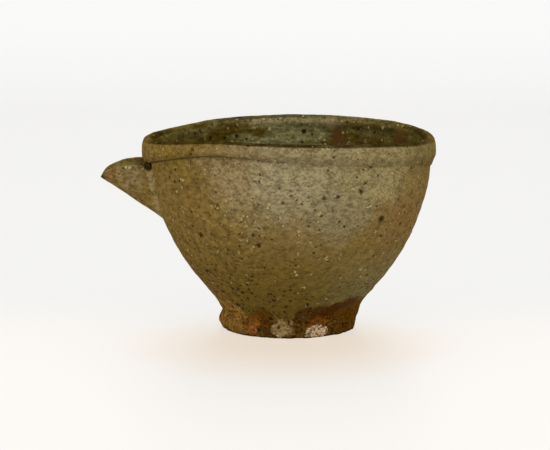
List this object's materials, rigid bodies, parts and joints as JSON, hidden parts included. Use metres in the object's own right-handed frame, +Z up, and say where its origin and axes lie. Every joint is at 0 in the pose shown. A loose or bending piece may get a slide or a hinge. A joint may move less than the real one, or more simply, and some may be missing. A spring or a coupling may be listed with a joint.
{
  "type": "katakuchi sake pourer",
  "caption": "Open stoneware pouring bowl with a thick folded rim, a short pointed spout luted under the rim over a pouring hole, and a narrow ring foot.",
  "frame": {"origin": "centre of the foot ring's standing face", "axes": "+Z up, -X towards the spout, -Y towards the picture's camera"},
  "size_m": [0.1359, 0.12, 0.081],
  "materials": {
    "ash_glazed_clay": "satin olive-brown ash glaze over speckled stoneware",
    "luting_slip": "pale matt slip under thin ash",
    "foot_clay": "bare red-brown clay, matt",
    "kiln_grit": "rough pale grit"
  },
  "bodies": {
    "root": {"bowl": "ash_glazed_clay", "rim_roll": "ash_glazed_clay", "spout": "ash_glazed_clay", "spout_slip": "luting_slip", "foot_ring": "foot_clay", "foot_slip": "foot_clay", "kiln_grit": "kiln_grit"}
  },
  "joints": []
}
